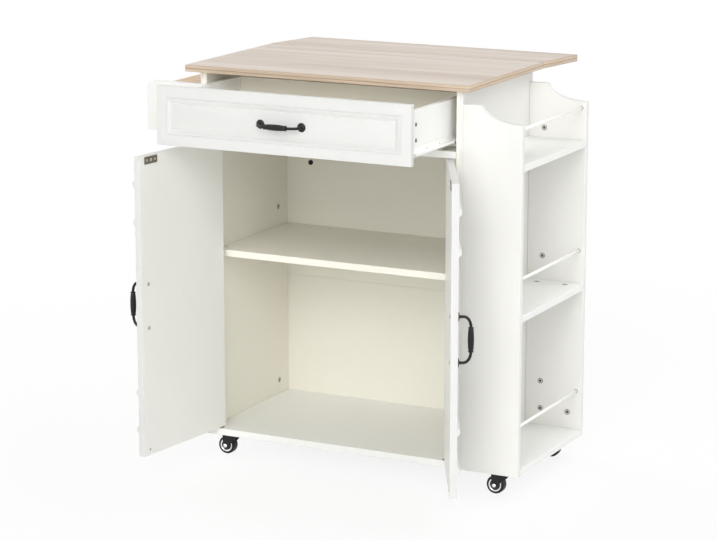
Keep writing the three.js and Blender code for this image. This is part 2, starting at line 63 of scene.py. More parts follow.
# Sizes that the frame fixes, in millimetres. GAP is the clearance between neighbouring boards.
BOARD = 15.0
DEPTH = 366.0
WIDTH = 628.0
HEIGHT = 818.0
GAP = 0.3
DRAWER_OPEN = 214.0
DOOR_X = (-14.5, 280.5)
DOOR_HIGH = 654.0
DOOR_OUTER = -7.0
DOOR_INNER = DOOR_OUTER + BOARD
DOOR_RIBS = (59.0, 141.0, DOOR_HIGH - 141.0, DOOR_HIGH - 59.0)
SIDES = ("left", "right")
DOOR_SWING = {"left": -96.3, "right": 117.2}
DOOR_PIVOT = {"left": (31.5, 7.0, 17.0), "right": (596.5, 7.0, 17.0)}
LEAF_AXIS = (0.0, 377.0, 809.0)
LEAF_DROOP = 2.5
HANDLE_SPREAD = 96.0
HANDLE_REACH = 26.4
HANDLE_GRIP = 52.0
DOOR_HANDLE = (257.5, 329.5)
DRAWER_HANDLE = (WIDTH / 2, 752.0)
STRIKE = (243.0, 9.7, 644.0)
SIDE_SHELF_LOW = 758.5
BACK_FACE = 369.0
BRACKET_X = (77.0, WIDTH - 77.0)
RODS = {
    # node: x, z, radius
    "rack_rod_bottom": (750.5, 104.0, 3.3),
    "rack_rod_middle": (750.5, 423.5, 3.3),
    "rack_rod_top": (750.5, 741.0, 3.3),
    "towel_rod": (-104.0, 708.0, 6.0),
}
FORWARD, REARWARD = (0, -1, 0), (0, 1, 0)
UPWARD, DOWNWARD = (0, 0, 1), (0, 0, -1)
AXLE_Z = -29.0
CASTER_TRAIL = 10.0
CASTERS = {
    f"{side}_{end}": (x, y)
    for side, x in (("left", 52.0), ("right", 711.0))
    for end, y in (("front", 30.0), ("rear", 336.0))
}


# ---- user settings ----
def size_property(about, default, low, high, kind=bpy.props.FloatProperty):
    """A setting with its limits."""
    return kind(description=about, default=default, min=low, max=high)


def colour_property(about, value):
    """A colour setting."""
    return bpy.props.FloatVectorProperty(
        description=about, subtype="COLOR", size=3, min=0.0, max=1.0, default=value
    )


class IslandSizes(bpy.types.PropertyGroup):
    """Small sizes of the finish that a user may change."""

    edge_round: size_property("Rounding of board edges, 1 being the usual", 1.0, 0.2, 1.1)
    bead_height: size_property("How far the drawer's bead stands out, in millimetres", 1.6, 1.0, 2.6)
    rib_height: size_property("How far the door ribs stand out, in millimetres", 6.5, 2.0, 6.5)
    screw_radius: size_property("Radius of the pan heads, in millimetres", 3.6, 2.0, 5.0)
    round_steps: size_property("Facets of turned pieces", 64, 24, 128, bpy.props.IntProperty)


class IslandColours(bpy.types.PropertyGroup):
    """Colours of the finishes."""

    board: colour_property("Warm white coating of the boards", (0.85, 0.845, 0.815))
    # Painted light: level boards a brighter white, standing in for light from above.
    flat_board: colour_property("Cooler white of level boards", (0.905, 0.912, 0.885))
    # Painted light: a cream brighter than the board, standing in for warm bounced light that lifts the
    # shade inside cupboard and drawer.
    lining: colour_property("Cream coating inside cupboard and drawer", (0.93, 0.905, 0.812))
    # Painted light: door inner faces lighter and warmer than their fronts, halfway to the bounce
    # colour.
    door_lining: colour_property("Inner faces of the doors", (0.868, 0.868, 0.83))
    # Painted shade: fronts darker than the board's white, holding back the strong front light.
    front: colour_property("White coating of doors and drawer front", (0.745, 0.744, 0.728))
    oak_light: colour_property("Lightest grain of the worktop", (0.718, 0.645, 0.58))
    oak_dark: colour_property("Darkest grain of the worktop", (0.42, 0.325, 0.25))
    band_light: colour_property("Light lines of the edge banding", (0.7, 0.56, 0.425))
    band_dark: colour_property("Dark lines of the edge banding", (0.38, 0.26, 0.165))
    black: colour_property("Satin black of handles and casters", (0.009, 0.0085, 0.008))
    steel: colour_property("Zinc plated steel", (0.6, 0.59, 0.56))


def chosen(name):
    """The user's colour of that name."""
    return tuple(getattr(bpy.context.scene.island_colours, name))


def sizes():
    return bpy.context.scene.island_sizes


# ---- shader building ----
def sign(operation, swapped=False):
    """A method that answers to one sign of arithmetic with a math node."""

    def method(self, other):
        return self.math(operation, *((other, self) if swapped else (self, other)))

    return method


class Socket:
    """An output socket that answers to arithmetic, so shader maths reads as maths."""

    def __init__(self, finish, output):
        self.finish, self.output = finish, output

    def math(self, operation, *values):
        return self.finish.node("ShaderNodeMath", {"operation": operation}, dict(enumerate(values)))

    __add__ = __radd__ = sign("ADD")
    __sub__, __rsub__ = sign("SUBTRACT"), sign("SUBTRACT", swapped=True)
    __mul__ = sign("MULTIPLY")
    below, least, most = sign("LESS_THAN"), sign("MINIMUM"), sign("MAXIMUM")

    def __abs__(self):
        return self.math("ABSOLUTE", self)

    def step(self, low, high):
        """Rises smoothly from 0 at low to 1 at high."""
        settings = {"interpolation_type": "SMOOTHSTEP", "clamp": True}
        inputs = {"Value": self, "From Min": low, "From Max": high}
        return self.finish.node("ShaderNodeMapRange", settings, inputs)


class Finish:
    """A node material round one Principled shader."""

    def __init__(self, name, colour, roughness, level=0.5, metallic=0.0):
        self.material = bpy.data.materials.new(name)
        self.material.use_nodes = True
        self.material.diffuse_color = (*colour, 1.0)
        self.tree = self.material.node_tree
        self.shader = self.tree.nodes["Principled BSDF"]
        start = {"Base Color": (*colour, 1.0), "Roughness": roughness, "Metallic": metallic}
        start["Specular IOR Level"] = level
        for key, value in start.items():
            self.shader.inputs[key].default_value = value

    def node(self, kind, settings=None, inputs=None, output=0):
        """A node of any type: its settings come first, then values or links of its sockets."""
        made = self.tree.nodes.new(kind)
        for key, value in (settings or {}).items():
            setattr(made, key, value)
        for key, value in (inputs or {}).items():
            socket = made.inputs[key]
            if isinstance(value, Socket):
                self.tree.links.new(value.output, socket)
            elif isinstance(value, tuple) and len(value) == 3 and socket.type == "RGBA":
                socket.default_value = (*value, 1.0)
            else:
                socket.default_value = value
        return Socket(self, made.outputs[output])

    def place(self, scale=(1, 1, 1), turn=(0, 0, 0)):
        """Object coordinates, stretched and turned."""
        coordinates = self.node("ShaderNodeTexCoord", output="Object")
        inputs = {"Vector": coordinates, "Scale": scale, "Rotation": turn}
        return self.node("ShaderNodeMapping", None, inputs)

    def along(self, axis, turn=(0, 0, 0)):
        """Object coordinate along one axis."""
        return self.node("ShaderNodeSeparateXYZ", None, {"Vector": self.place(turn=turn)}, output=axis)

    def noise(self, scale, detail=2.0, rough=0.5, vector=None):
        """Noise from 0 to 1. Without a vector, scale is cells per metre along x, y and z."""
        vector = vector or self.place(scale if isinstance(scale, tuple) else (scale,) * 3)
        inputs = {"Vector": vector, "Scale": 1.0, "Detail": detail, "Roughness": rough}
        return self.node("ShaderNodeTexNoise", None, inputs)

    def mix(self, factor, first, second):
        """A colour between first, at 0, and second, at 1."""
        settings = {"data_type": "RGBA", "clamp_factor": True}
        return self.node("ShaderNodeMix", settings, {0: factor, 6: first, 7: second}, output=2)

    def shade(self, factor, colour, low, high):
        """The colour, low times as bright at 0 and high times at 1."""
        return self.mix(factor, scaled(colour, low), scaled(colour, high))

    def feed(self, name, value):
        self.tree.links.new(value.output, self.shader.inputs[name])
        return self

    def bump(self, height, distance):
        """A bump whose full height is distance metres."""
        inputs = {"Height": height, "Distance": distance, "Strength": 1.0}
        return self.feed("Normal", self.node("ShaderNodeBump", None, inputs))


def scaled(colour, factor):
    return tuple(min(1.0, part * factor) for part in colour)


def coated(name, tint, rough, bounce_zone=None):
    """Coated board: faint clouding, a fine pebbled skin and slightly uneven gloss. With a zone
    (axis, middle, reach) as last setting, in metres of the board's own coordinates, faces nearer the
    middle than the reach take the warm bounce colour: painted light, warmer and brighter inside."""
    colour = chosen(tint)
    made = Finish(name, colour, rough, level=0.42)
    cloud = made.noise(4.0, 3.0)
    grain = made.noise((90.0, 90.0, 7.0), 3.0, 0.6)
    low, high = scaled(colour, 0.972), scaled(colour, 1.022)
    if bounce_zone:
        axis, middle, reach = bounce_zone
        # Inner faces: painted warm bounce light mixed into the colour.
        bounce_mask = abs(made.along(axis) - middle).below(reach)
        inner = chosen("lining")
        low, high = (made.mix(bounce_mask, scaled(colour, k), scaled(inner, k)) for k in (0.972, 1.0))
    made.feed("Base Color", made.mix(cloud * 0.55 + grain * 0.45, low, high))
    skin = made.noise(900.0, 2.0, 0.6)
    made.feed("Roughness", rough - 0.05 + cloud * 0.06 + skin * 0.05)
    return made.bump(skin * 0.7 + grain * 0.3, 0.00006)


def oak_face(name, light=None, dark=None):
    """Oak grain along X: broad streaks, fine fibres, short dark pores and slow plank tones."""
    light, dark = light or chosen("oak_light"), dark or chosen("oak_dark")
    made = Finish(name, light, 0.58, level=0.32)
    wander = made.noise((2.2, 5.0, 5.0))
    stretched = {0: made.place((1.3, 26.0, 26.0)), 1: wander}
    bent = made.node("ShaderNodeVectorMath", {"operation": "ADD"}, stretched)
    streak = made.noise(1.0, 5.0, 0.62, vector=bent)
    fibre = made.noise((9.0, 420.0, 420.0), 3.0, 0.6)
    pores = made.noise((34.0, 900.0, 900.0)).step(0.66, 0.8)
    plank = made.noise((0.8, 11.0, 11.0), 1.0)
    tone = (streak * 0.5 + fibre * 0.16 + plank * 0.44).step(0.38, 0.68)
    middle = tuple((a + b) / 2 for a, b in zip(light, dark))
    grain = made.mix(tone, middle, light)
    grain = made.mix(streak.step(0.56, 0.68) * 0.8, grain, scaled(middle, 0.95))
    made.feed("Base Color", made.mix(pores * 0.55, grain, dark))
    made.feed("Roughness", 0.58 - tone * 0.07 + pores * 0.1)
    return made.bump(fibre * 0.5 - pores * 0.7, 0.00012)


def oak_shelf(name):
    """The same grain, warmer and darker on the side shelf: painted shade and orange bounce under the
    worktop's overhang.
    """
    red, green, blue = chosen("band_light")
    return oak_face(name, (red, green * 0.93, blue * 0.84), scaled(chosen("band_dark"), 1.15))


def oak_band(name, droop=0.0):
    """Edge banding: thin light and dark lines run level round the edge, with one darker line at
    half height. The level is z' of the board's own frame: z' = y sin a + z cos a - its middle."""
    light, dark = chosen("band_light"), chosen("band_dark")
    made = Finish(name, light, 0.48, level=0.4)
    angle = math.radians(droop)
    middle = CORNER + np.array(LEAF_AXIS if droop else (0.0, 0.0, HEIGHT + 7.4)) / 1000.0
    level = middle[1] * math.sin(angle) + middle[2] * math.cos(angle) + (0.0165 if droop else 0.0)
    turn = (angle, 0.0, 0.0)
    height = made.along("Z", turn) - level
    lines = made.noise(1.0, 4.0, 0.65, vector=made.place((5.0, 5.0, 330.0), turn))
    fine = made.noise(1.0, vector=made.place((26.0, 26.0, 1500.0), turn))
    tone = (lines * 0.75 + fine * 0.25).step(0.36, 0.62)
    middle_line = 1.0 - abs(height + (lines - 0.5) * 0.0012).step(0.0003, 0.0013)
    # Darker toward the band's top and bottom rims: painted shade at its rounded edges.
    rim = abs(height).step(0.0052, 0.0072)
    banded = made.shade(tone, light, 0.76, 1.0)
    made.feed("Base Color", made.mix((middle_line * 0.95).most(rim * 0.42), banded, dark))
    made.feed("Roughness", 0.52 - tone * 0.08)
    return made.bump(lines * 0.6 + fine * 0.4 - middle_line * 0.5, 0.00015)


def skinned(name, colour, rough, level, skin, cloud, tones, gloss):
    """Coated metal: a fine skin over a softly clouded tone and uneven gloss. Skin and cloud hold
    what noise() takes."""
    made = Finish(name, colour, rough, level=level)
    skin, cloud = made.noise(*skin), made.noise(*cloud)
    made.feed("Base Color", made.shade(cloud, colour, *tones))
    made.feed("Roughness", 0.3 + cloud * gloss)
    return made.bump(skin, 0.00005)


def black_satin(name):
    """Black coated metal with a little rubbed gloss."""
    skin, rub = (1400.0, 2.0, 0.6), (60.0, 3.0)
    return skinned(name, chosen("black"), 0.36, 0.28, skin, rub, (0.8, 1.7), 0.14)


def white_metal(name):
    """Powder coated steel: orange peel over an even white."""
    peel, cloud = (1100.0,), (30.0,)
    return skinned(name, (0.73, 0.73, 0.71), 0.34, 0.5, peel, cloud, (0.96, 1.03), 0.08)


def plated(name, rough, dull, colour=None):
    """Zinc plate: small spangles of tone, faint draw lines and uneven gloss."""
    colour = colour or chosen("steel")
    made = Finish(name, colour, rough, metallic=1.0)
    cells = {"Vector": made.place((420.0,) * 3), "Scale": 1.0}
    spangle = made.node("ShaderNodeTexVoronoi", {"feature": "F1"}, cells, output="Distance")
    drawn = made.noise((700.0, 700.0, 30.0), 2.0, 0.6)
    tone = spangle * 0.5 + drawn * 0.5
    made.feed("Base Color", made.shade(tone, colour, dull, 1.15))
    made.feed("Roughness", rough - 0.06 + tone * 0.16)
    return made.bump(drawn, 0.00004)


def chrome(name):
    """Bright plate with a faint turned pattern."""
    made = Finish(name, (0.82, 0.82, 0.83), 0.14, metallic=1.0)
    haze = made.noise(500.0)
    made.feed("Base Color", made.mix(haze, (0.72, 0.72, 0.73), (0.88, 0.88, 0.88)))
    return made.feed("Roughness", 0.1 + haze * 0.1)


def tyre_black(name):
    """Hard black tread: matt, finely speckled, lighter where it has rolled."""
    made = Finish(name, (0.012, 0.012, 0.012), 0.55, level=0.25)
    speck = made.noise(900.0, 3.0, 0.6)
    scuff = made.noise(120.0, 3.0, 0.6).step(0.5, 0.75)
    worn = scuff * 0.5 + speck * 0.25
    made.feed("Base Color", made.mix(worn, (0.008, 0.008, 0.008), (0.03, 0.029, 0.028)))
    made.feed("Roughness", 0.46 + scuff * 0.14)
    return made.bump(speck, 0.00008)


def plastic(name, colour, rough):
    """Moulded plastic: fine spark texture and slightly cloudy tone."""
    made = Finish(name, colour, rough, level=0.45)
    spark = made.noise(1300.0, 2.0, 0.6)
    cloud = made.noise(45.0)
    made.feed("Base Color", made.shade(cloud, colour, 0.94, 1.05))
    made.feed("Roughness", rough - 0.04 + spark * 0.1)
    return made.bump(spark, 0.00005)


# Zones of the side and back boards whose inner faces take painted warm bounce light.
SIDES_BOUNCE_ZONE = ("X", float(CORNER[0]) + WIDTH / 2000.0, (WIDTH - BOARD) / 2000.0)
BACK_BOUNCE_ZONE = ("Y", float(CORNER[1]) + 0.18, 0.1876)
FINISHES = {
    # name: the function that makes it, and its settings
    "board_white": (coated, "board", 0.46),
    # Painted light: brighter white on level boards.
    "board_bright": (coated, "flat_board", 0.44),
    # Painted light: whole boards in the warmer, brighter bounce colour.
    "board_lined": (coated, "lining", 0.46),
    # Painted light: inner faces of the doors.
    "door_inner": (coated, "door_lining", 0.44),
    "side_white": (coated, "board", 0.46, SIDES_BOUNCE_ZONE),
    "back_white": (coated, "board", 0.46, BACK_BOUNCE_ZONE),
    # Painted shade: darker white of doors and drawer front.
    "front_white": (coated, "front", 0.36),
    "oak_face": (oak_face,),
    "oak_shelf": (oak_shelf,),
    "oak_band": (oak_band,),
    "oak_band_leaf": (oak_band, LEAF_DROOP),
    "black_satin": (black_satin,),
    "white_metal": (white_metal,),
    "plated_steel": (plated, 0.34, 0.55),
    "dull_steel": (plated, 0.45, 0.5),
    "aged_steel": (plated, 0.5, 0.7, (0.3, 0.275, 0.225)),
    "yellow_zinc": (plated, 0.42, 0.6, (0.42, 0.33, 0.19)),
    "chrome": (chrome,),
    "tyre_black": (tyre_black,),
    "white_plastic": (plastic, (0.8, 0.795, 0.77), 0.4),
    "black_plastic": (plastic, (0.02, 0.02, 0.02), 0.45),
    # Painted shade in the cams' gap and dish.
    "dark_recess": (plastic, (0.03, 0.028, 0.025), 0.6),
    # Painted shade round the rod bores.
    "bore_grey": (plastic, (0.3, 0.29, 0.26), 0.6),
}


def finish(name):
    """The material of that name, made once."""
    make, *settings = FINISHES[name]
    return bpy.data.materials.get(name) or make(name, *settings).material


# ---- meshes ----
class Shape:
    """Closed surfaces in millimetres, each face with the number of its finish."""

    def __init__(self):
        self.points, self.faces, self.marks = np.zeros((0, 3)), [], []

    def grid(self, points, closed=True, marks=0, caps=False):
        """Four sided faces between the points of a grid [u, v], whose rows may close on themselves,
        with flat caps on the first row and the last. Marks are one for all or one for each row."""
        nu, nv = points.shape[:2]
        number = np.arange(nu * nv).reshape(nu, nv)
        if closed:
            number = np.concatenate([number, number[:, :1]], 1)
        quads = [number[:-1, :-1], number[1:, :-1], number[1:, 1:], number[:-1, 1:]]
        self.faces = list(np.stack(quads, -1).reshape(-1, 4))
        self.marks = list(np.repeat(np.broadcast_to(marks, nu)[:-1], number.shape[1] - 1))
        if caps:
            self.faces += [np.arange(nv), (nu - 1) * nv + np.arange(nv)]
            self.marks += [0, 0]
        self.points = points.reshape(-1, 3)
        return self

    def moved(self, change):
        """The same shape with its points passed through change."""
        self.points = change(self.points)
        return self

    def join(self, other):
        self.faces += [face + len(self.points) for face in other.faces]
        self.points = np.concatenate([self.points, other.points])
        self.marks += other.marks
        return self

    def build(self, name, body, slot, finishes, replaces=(), angle=32.0):
        """The mesh object in the frame's metres: doubles merged, faces outwards, creases kept."""
        mesh = bpy.data.meshes.new(name)
        metres = CORNER + self.points / 1000.0
        mesh.from_pydata(metres.tolist(), [], [face.tolist() for face in self.faces])
        mesh.polygons.foreach_set("material_index", np.asarray(self.marks, np.int32))
        for item in finishes:
            mesh.materials.append(finish(item))
        work = bmesh.new()
        work.from_mesh(mesh)
        bmesh.ops.remove_doubles(work, verts=work.verts, dist=2e-6)
        bmesh.ops.dissolve_degenerate(work, edges=work.edges, dist=1e-6)
        bmesh.ops.recalc_face_normals(work, faces=work.faces)
        if any(edge.is_boundary for edge in work.edges):
            raise RuntimeError(f"{name} has an open edge")
        work.to_mesh(mesh)
        work.free()
        mesh.shade_smooth()
        mesh.set_sharp_from_angle(angle=math.radians(angle))
        piece = add_object(name, mesh)
        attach(piece, body)
        if replaces:
            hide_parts(*replaces)

    def fasten(self, name, body="carcass", finishes=("plated_steel",), angle=50.0):
        """A small fastening of plated steel, which replaces no node."""
        self.build(name, body, "plated_steel", finishes, (), angle)


def turned(profile, steps=None, marks=0):
    """A profile of (radius, height) turned about Z: x = r cos a, y = r sin a, z = h."""
    steps = steps or sizes().round_steps
    profile = np.asarray(profile, float)
    angle = np.linspace(0, 2 * np.pi, steps, endpoint=False)
    radius, height = profile[:, 0, None], profile[:, 1, None]
    grid = np.stack([radius * np.cos(angle), radius * np.sin(angle), height + 0 * angle], -1)
    return Shape().grid(grid, marks=marks)


def rounded_rectangle(x0, y0, x1, y1, radius, steps=5):
    """Outline of a rectangle whose corners are arcs: centre + r (cos a, sin a), corner by corner."""
    turn = np.linspace(0, np.pi / 2, steps)
    left, right, low, high = x0 + radius, x1 - radius, y0 + radius, y1 - radius
    centres = [(right, low), (right, high), (left, high), (left, low)]
    arcs = [
        np.stack([cx + radius * np.cos(turn + start), cy + radius * np.sin(turn + start)], -1)
        for (cx, cy), start in zip(centres, np.radians([-90, 0, 90, 180]))
    ]
    return np.concatenate(arcs)


def inward(outline):
    """Inward step at each corner of a counterclockwise outline: the sum of the two edge normals
    over 1 plus their dot product, so that every edge moves by the same distance."""
    ahead = np.roll(outline, -1, 0) - outline
    ahead /= np.linalg.norm(ahead, axis=1)[:, None]
    normal = np.stack([-ahead[:, 1], ahead[:, 0]], -1)
    before = np.roll(normal, 1, 0)
    return (normal + before) / (1 + (normal * before).sum(1))[:, None]


def plate(outline, thickness, edge, band=0, steps=4):
    """An outline grown to a thickness along Z, both rims rounded by quarter circles:
    inset = e (1 - sin a), height = e (1 - cos a), for a from 0 to 90 degrees. The faces between
    the rims have the band's finish."""
    outline = np.asarray(outline, float)
    x, y = outline[:, 0], outline[:, 1]
    if (x * np.roll(y, -1) - y * np.roll(x, -1)).sum() < 0:
        outline = outline[::-1]
    edge = edge * sizes().edge_round
    a = np.linspace(0, np.pi / 2, steps)
    inset = edge * (1 - np.sin(a))
    height = edge * (1 - np.cos(a))
    inset = np.concatenate([inset, inset[::-1]])
    height = np.concatenate([height, (thickness - height)[::-1]])
    flat = outline[None] + inset[:, None, None] * inward(outline)[None]
    grid = np.concatenate([flat, np.broadcast_to(height[:, None, None], flat.shape[:2] + (1,))], -1)
    side = np.full(len(height), band)
    side[0] = side[-2] = 0
    return Shape().grid(grid, marks=side, caps=True)


def upright(points):
    """From (x, z, thickness) to (x, y, z)."""
    return points[:, [0, 2, 1]]


def shifted(x=0.0, y=0.0, z=0.0):
    return lambda points: points + np.array([x, y, z])


def along_y(points):
    """A piece turned about Z now turns about Y."""
    return np.stack([points[:, 0], points[:, 2], -points[:, 1]], -1)


def door_frame(side):
    """From the left door's own millimetres to the cupboard's: mirrored for the right door,
    then x' = x cos a - y sin a, y' = x sin a + y cos a about the pivot."""
    angle = math.radians(DOOR_SWING[side])
    way = 1.0 if side == "left" else -1.0
    cos, sin = math.cos(angle), math.sin(angle)

    def change(points):
        x, y, z = way * points[:, 0], points[:, 1], points[:, 2]
        return np.stack([x * cos - y * sin, x * sin + y * cos, z], -1) + DOOR_PIVOT[side]

    return change


def leaf_frame(points):
    """From the level leaf about its axis to the drooping leaf in the cupboard's millimetres."""
    cos, sin = math.cos(math.radians(LEAF_DROOP)), math.sin(math.radians(LEAF_DROOP))
    x, y, z = points.T
    return np.stack([x, y * cos + z * sin, z * cos - y * sin], -1) + LEAF_AXIS


def around(middle, reach):
    """The two values at the same distance below and above the middle."""
    return middle - reach, middle + reach


def smooth(t):
    """From 0 to 1 with level ends: 3t^2 - 2t^3."""
    t = np.clip(t, 0.0, 1.0)
    return t * t * (3 - 2 * t)


def arc(t):
    """Height of a unit circle at the distance t from its middle: sqrt(1 - t^2)."""
    return np.sqrt(1 - np.clip(t, 0.0, 1.0) ** 2)


def add_object(name, data):
    made = bpy.data.objects.new(name, data)
    bpy.context.scene.collection.objects.link(made)
    return made


def dress(name, *starts):
    """Gives the CAD nodes whose names start so, and which keep their shape, a finish."""
    for node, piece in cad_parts.items():
        if node.startswith(starts):
            for slot in piece.material_slots:
                slot.material = finish(name)


# ---- boards ----
class IslandBoards(bpy.types.Operator):
    """Coated boards of the cupboard, drawer and shelves, which keep their CAD shape."""

    bl_idname = "island.boards"
    bl_label = "Coated boards"

    def execute(self, context):
        dress("side_white", "side_panel")
        dress("back_white", "back_panel")
        # Painted light: the shelf and the drawer's back and bottom wholly in the warm bounce colour.
        dress("board_lined", "adjustable_shelf", "drawer_back", "drawer_bottom")
        # Painted light: rail, bottom, drawer sides and rack shelves in the brighter level white.
        dress("board_bright", "drawer_rail", "bottom_panel", "drawer_side", "rack_shelf")
        return {"FINISHED"}


class IslandWorktop(bpy.types.Operator):
    """Worktop, drop leaf and side shelf: oak faces with banded, rounded edges."""

    bl_idname = "island.worktop"
    bl_label = "Oak worktop, leaf and side shelf"

    def execute(self, context):
        top = plate(rounded_rectangle(-25, -24, 653, 369, 1.2), BOARD - GAP, 0.5, band=1)
        top.moved(shifted(z=HEIGHT + GAP))
        top.build("worktop_board", "carcass", "wood_board", ["oak_face", "oak_band"], ["worktop"])
        leaf = plate(rounded_rectangle(-25, -8, 653, 187, 1.2), BOARD, 0.5, band=1)
        leaf.moved(shifted(z=9.0)).moved(leaf_frame)
        coats = ["oak_face", "oak_band_leaf"]
        leaf.build("drop_leaf_board", "leaf", "wood_board", coats, ["drop_leaf"])
        inset = BOARD + GAP
        outline = rounded_rectangle(-132, inset, -GAP, DEPTH - inset, 0.8)
        shelf = plate(outline, BOARD, 0.7, band=1).moved(shifted(z=SIDE_SHELF_LOW))
        # Painted shade: the shelf's face in the darker, warmer oak.
        coats = ["oak_shelf", "oak_band"]
        shelf.build("side_shelf_board", "carcass", "wood_board", coats, ["side_shelf"])
        return {"FINISHED"}


def rack_outline(inner=WIDTH + GAP, outer=762.0, top=789.0, cove_x=91.0, cove_z=35.0):
    """Level top, then a hollow quarter ellipse down to the outer edge: x = outer + cove_x cos a,
    z = top + cove_z sin a, for a from -180 to -90 degrees."""
    a = np.radians(np.linspace(-90, -180, 40))
    cove = np.stack([outer + cove_x * np.cos(a), top + cove_z * np.sin(a)], -1)
    return np.concatenate([[(inner, 0), (outer, 0)], cove, [(inner, top)]])


def bracket_outline(inner=-GAP, outer=-136.0, low=679.0, top=789.0, large=18.0, small=6.0):
    """Square inner edge; the outer corners are arcs, the large one above."""
    a = np.linspace(0, np.pi / 2, 12)
    upper = np.stack([outer + large - large * np.sin(a), top - large + large * np.cos(a)], -1)
    lower = np.stack([outer + small - small * np.cos(a), low + small - small * np.sin(a)], -1)
    return np.concatenate([[(inner, low), (inner, top)], upper, lower])


class IslandEndPanels(bpy.types.Operator):
    """Shaped end panels of the spice rack and of the side shelf."""

    bl_idname = "island.end_panels"
    bl_label = "Rack panels and brackets"

    def execute(self, context):
        for end, y in (("front", 0.0), ("rear", DEPTH - BOARD)):
            for node, outline in (("rack_panel", rack_outline()), ("side_bracket", bracket_outline())):
                name = f"{node}_{end}"
                shape = plate(outline, BOARD, 0.9).moved(upright).moved(shifted(y=y))
                shape.build(f"{name}_shaped", "carcass", "white_board", ["board_white"], [name])
        return {"FINISHED"}


# ---- drawer front and doors ----
def ring_panel(x0, z0, x1, z1, profile, steps=12):
    """A panel as nested rectangles: each (inset, y) of the profile is one mitred ring, whose
    points lie evenly along the four sides; the first and last rings are closed flat."""
    profile = np.asarray(profile, float)
    share = np.linspace(0, 1, steps, endpoint=False)
    corners = np.array([[0, 0], [1, 0], [1, 1], [0, 1]], float)
    ahead = np.roll(corners, -1, 0) - corners
    loop = (corners[:, None] + share[None, :, None] * ahead[:, None]).reshape(-1, 2)
    inset = profile[:, 0, None]
    x = x0 + inset + loop[None, :, 0] * (x1 - x0 - 2 * inset)
    z = z0 + inset + loop[None, :, 1] * (z1 - z0 - 2 * inset)
    y = np.broadcast_to(profile[:, 1, None], x.shape)
    return Shape().grid(np.stack([x, y, z], -1), caps=True)


def moulding(start, bead, slope, rise, proud, sunk, field):
    """Profile of a moulded frame: a narrow groove, a half round bead, a hollow slope inwards and a
    crisp rise to the field. Bead: y = -p sqrt(1 - t^2); slope and rise are smooth."""
    groove = [(start - 1.9, 0.0), (start - 1.1, 0.9), (start - 0.2, 0.9)]
    t = np.linspace(-1, 0.3, 12)
    bead_line = np.stack([start + (t + 1) * bead / 2, -proud * np.sqrt(1 - t**2)], -1)
    top_d, top_y = bead_line[-1]
    s = np.linspace(0, 1, 10)[1:]
    low = start + bead + slope
    slope_line = np.stack([top_d + s * (low - top_d), top_y + (sunk - top_y) * smooth(s)], -1)
    rise_line = np.stack([low + s * rise, sunk + (field - sunk) * smooth(s)], -1)
    return np.concatenate([groove, bead_line, slope_line, rise_line])


class IslandDrawerFront(bpy.types.Operator):
    """Drawer front: rounded edges, a raised bead all round and a sunk field."""

    bl_idname = "island.drawer_front"
    bl_label = "Drawer front"

    def execute(self, context):
        edge = [(1.0, 15.0), (0.3, 14.7), (0.0, 14.0), (0.0, 1.5), (0.45, 0.45), (1.5, 0.0)]
        frame_line = moulding(24.4, 4.0, 7.6, 1.7, sizes().bead_height, 3.3, 1.1)
        shape = ring_panel(17, 690, 611, 816, np.concatenate([edge, frame_line]))
        shape.moved(shifted(y=-DRAWER_OPEN))
        # The front's darker white is painted shade.
        coats = ["front_white"]
        shape.build("drawer_front_moulded", "drawer", "white_board", coats, ["drawer_front"], 40.0)
        return {"FINISHED"}


def relief(x, z):
    """How far the door's outer face stands out at (x, z), in millimetres. Ribs: r sqrt(1 - u^2)
    across their 16 mm; the long frame between them: a bead and a slope in its inset distance."""
    x0, x1 = DOOR_X
    out = np.zeros_like(x)
    for middle in DOOR_RIBS:
        ends = arc((x0 + 44 - x) / 8.0) * arc((x - (x1 - 2.8)) / 2.0)
        out = np.maximum(out, sizes().rib_height * arc(np.abs(z - middle) / 8.0) * ends)
    inset = np.minimum.reduce([x - x0 - 36, x1 - 36 - x, z - 172, DOOR_HIGH - 172 - z])
    bead = 3.0 * arc(np.abs(inset - 5.0) / 5.0)
    slope = np.where(inset > 5.0, 3.0 - 4.5 * smooth((inset - 6.5) / 16.0), bead)
    return np.maximum(out, np.where(inset > 0, slope, 0.0))


def door_lines(marks, low, high, step, fine, reach):
    """Grid lines from low to high, close together near the marks and wide apart between them."""
    lines = [low, low, low + 0.4, low + 1.4, high - 1.4, high - 0.4, high, high]
    middle = np.arange(low + step, high - step / 2, step)
    close = np.concatenate([np.arange(m - reach, m + reach + fine / 2, fine) for m in marks])
    free = middle[np.abs(middle[:, None] - close[None]).min(1) > step * 0.4]
    inner = np.concatenate([free, close])
    inner = inner[(inner > low + 1.8) & (inner < high - 1.8)]
    return np.sort(np.concatenate([lines, np.unique(np.round(inner, 3))]))


